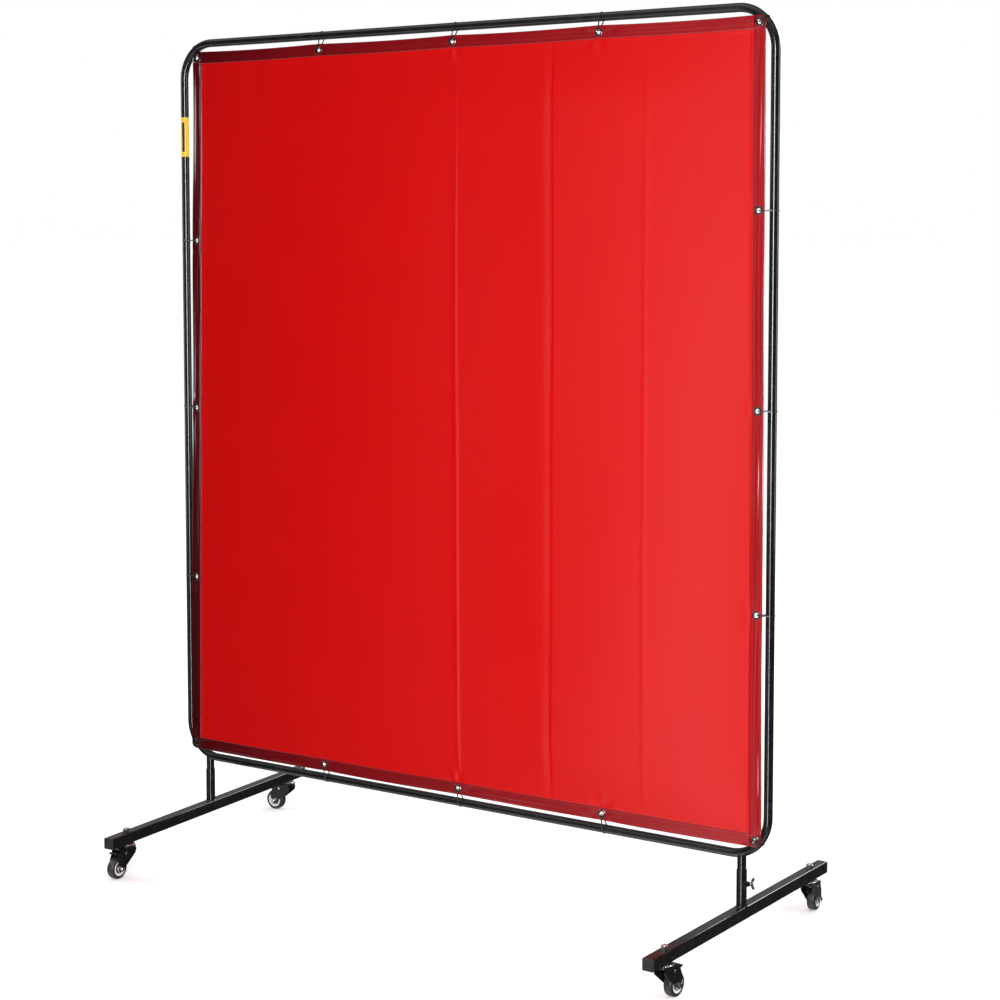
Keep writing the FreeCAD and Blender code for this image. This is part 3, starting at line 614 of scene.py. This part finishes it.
# --- floor, camera and light ------------------------------------------------------------------
FLOOR_REACH = 400  # far enough that its edge is never seen
PANEL_LIGHT = 0.95
# How bright the soft panel is in reflections, from its left end (0) to its right end (1).
PANEL_STOPS = [(0.0, 0.0), (0.10, 0.02), (0.233, 0.12), (0.308, 0.30), (0.385, 0.72), (0.47, 1.0),
               (0.67, 0.6), (0.92, 0.08), (1.0, 0.02)]


def area_light(name, place, target, width, height, watts, **settings):
    data = bpy.data.lights.new(name, "AREA")
    data.shape, data.size, data.size_y, data.energy = "RECTANGLE", width, height, watts
    lamp = bpy.data.objects.new(name, data)
    lamp.location = place
    lamp.rotation_euler = (Vector(target) - Vector(place)).to_track_quat("-Z", "Y").to_euler()
    lamp.visible_camera = False
    for key, value in settings.items():
        setattr(lamp, key, value)
    bpy.context.scene.collection.objects.link(lamp)
    return lamp


def ramp(tree, value, stops):
    """A curve through (position, height) stops, with the positions from 0 to 1."""
    made = tree.nodes.new("ShaderNodeValToRGB")
    tree.links.new(value, made.inputs[0])
    elements = made.color_ramp.elements
    for i, (position, height) in enumerate(stops):
        element = elements[i] if i < 2 else elements.new(position)
        element.position = position
        element.color = (height, height, height, 1)
    return made.outputs[0]


def mapped(tree, value, low, high, to_low, to_high):
    made = tree.nodes.new("ShaderNodeMapRange")
    tree.links.new(value, made.inputs["Value"])
    for socket, number in (("From Min", low), ("From Max", high), ("To Min", to_low), ("To Max", to_high)):
        made.inputs[socket].default_value = number
    return made.outputs[0]


def mixed(tree, share, first, second):
    """A number between first and second; each may be a number or a node's output."""
    made = tree.nodes.new("ShaderNodeMix")
    for socket, value in zip((0, 2, 3), (share, first, second)):
        if isinstance(value, bpy.types.NodeSocket):
            tree.links.new(value, made.inputs[socket])
        else:
            made.inputs[socket].default_value = value
    return made.outputs[0]


def studio():
    floor_mesh = bpy.data.meshes.new("floor")
    corners = [(-1, -1), (1, -1), (1, 1), (-1, 1)]
    floor_mesh.from_pydata([(x * FLOOR_REACH, y * FLOOR_REACH, 0) for x, y in corners], [], [(0, 1, 2, 3)])
    floor = bpy.data.objects.new("floor", floor_mesh)
    paper = Finish("floor_paper", (0.86, 0.86, 0.86), Roughness=0.9, Specular_IOR_Level=0.1,
                   Emission_Color=WHITE, Emission_Strength=0.17)
    paper.set("Base Color", paper.blend(paper.noise(3, 3), (0.855, 0.855, 0.855), (0.87, 0.87, 0.87)))
    floor_mesh.materials.append(paper.material)
    floor.visible_glossy = False
    bpy.context.scene.collection.objects.link(floor)

    # Plain white for the camera, even white light on everything, and for reflections a dark studio
    # with a soft panel in front on the left and a grey wall behind on the left.
    world = bpy.data.worlds.new("studio")
    world.use_nodes = True
    tree = world.node_tree
    nodes, links = tree.nodes, tree.links
    seen, lit = nodes["Background"], nodes.new("ShaderNodeBackground")
    seen.inputs[0].default_value, seen.inputs[1].default_value = (*WHITE, 1), 1.0
    lit.inputs[0].default_value = (*WHITE, 1)
    rays = nodes.new("ShaderNodeLightPath")
    space = nodes.new("ShaderNodeTexCoord")
    split = nodes.new("ShaderNodeSeparateXYZ")
    links.new(space.outputs["Generated"], split.inputs[0])
    x, y, z = split.outputs
    panel = ramp(tree, mapped(tree, x, -0.70, -0.10, 0, 1), PANEL_STOPS)
    lower = mapped(tree, z, 0.12, -0.05, 0.55 * PANEL_LIGHT, PANEL_LIGHT)
    dimmed = nodes.new("ShaderNodeMath")
    dimmed.operation = "MULTIPLY"
    links.new(panel, dimmed.inputs[0])
    links.new(lower, dimmed.inputs[1])
    steep = nodes.new("ShaderNodeMath")
    steep.operation = "ABSOLUTE"
    links.new(z, steep.inputs[0])
    front = nodes.new("ShaderNodeMath")
    front.operation = "ADD"
    links.new(dimmed.outputs[0], front.inputs[0])
    links.new(mapped(tree, steep.outputs[0], 0.45, 0.65, 0, 1.0), front.inputs[1])
    wall = mapped(tree, x, -0.2, 0.35, 0.35, 0.05)
    reflected = mixed(tree, mapped(tree, y, -0.1, 0.1, 0, 1), front.outputs[0], wall)
    links.new(mixed(tree, rays.outputs["Is Glossy Ray"], 1.0, reflected), lit.inputs[1])
    mix = nodes.new("ShaderNodeMixShader")
    links.new(rays.outputs["Is Camera Ray"], mix.inputs[0])
    links.new(lit.outputs[0], mix.inputs[1])
    links.new(seen.outputs[0], mix.inputs[2])
    links.new(mix.outputs[0], nodes["World Output"].inputs[0])
    world.cycles.sampling_method = "NONE"
    bpy.context.scene.world = world

    area_light("key", (1.43, -2.96, 1.45), (0.1, 0, 1.0), 0.7, 1.7, 60)
    area_light("key_shine", (1.43, -2.96, 0.75), (0.1, 0, 0.75), 0.42, 3.6, 115, visible_diffuse=False)
    area_light("top_rear", (0.3, 4.4, 3.0), (0, 0, 0.6), 2.4, 1.4, 90)
    area_light("right_strip", (2.6, 1.1, 1.5), (0, 0, 1.0), 0.5, 2.0, 22)
    area_light("left_strip", (-3.3, -1.2, 1.3), (0, 0, 1.0), 0.6, 2.0, 22)


studio()

camera_data = bpy.data.cameras.new("camera")
camera_data.sensor_width = 36
camera_data.lens = 75.85
camera_data.shift_y = -0.10
camera = bpy.data.objects.new("camera", camera_data)
camera.location = (2.7387, -3.8418, 1.5013)
camera.rotation_euler = (math.radians(85.5), 0, math.radians(34.19))
bpy.context.scene.collection.objects.link(camera)
bpy.context.scene.camera = camera
bpy.context.scene.view_settings.view_transform = "Standard"
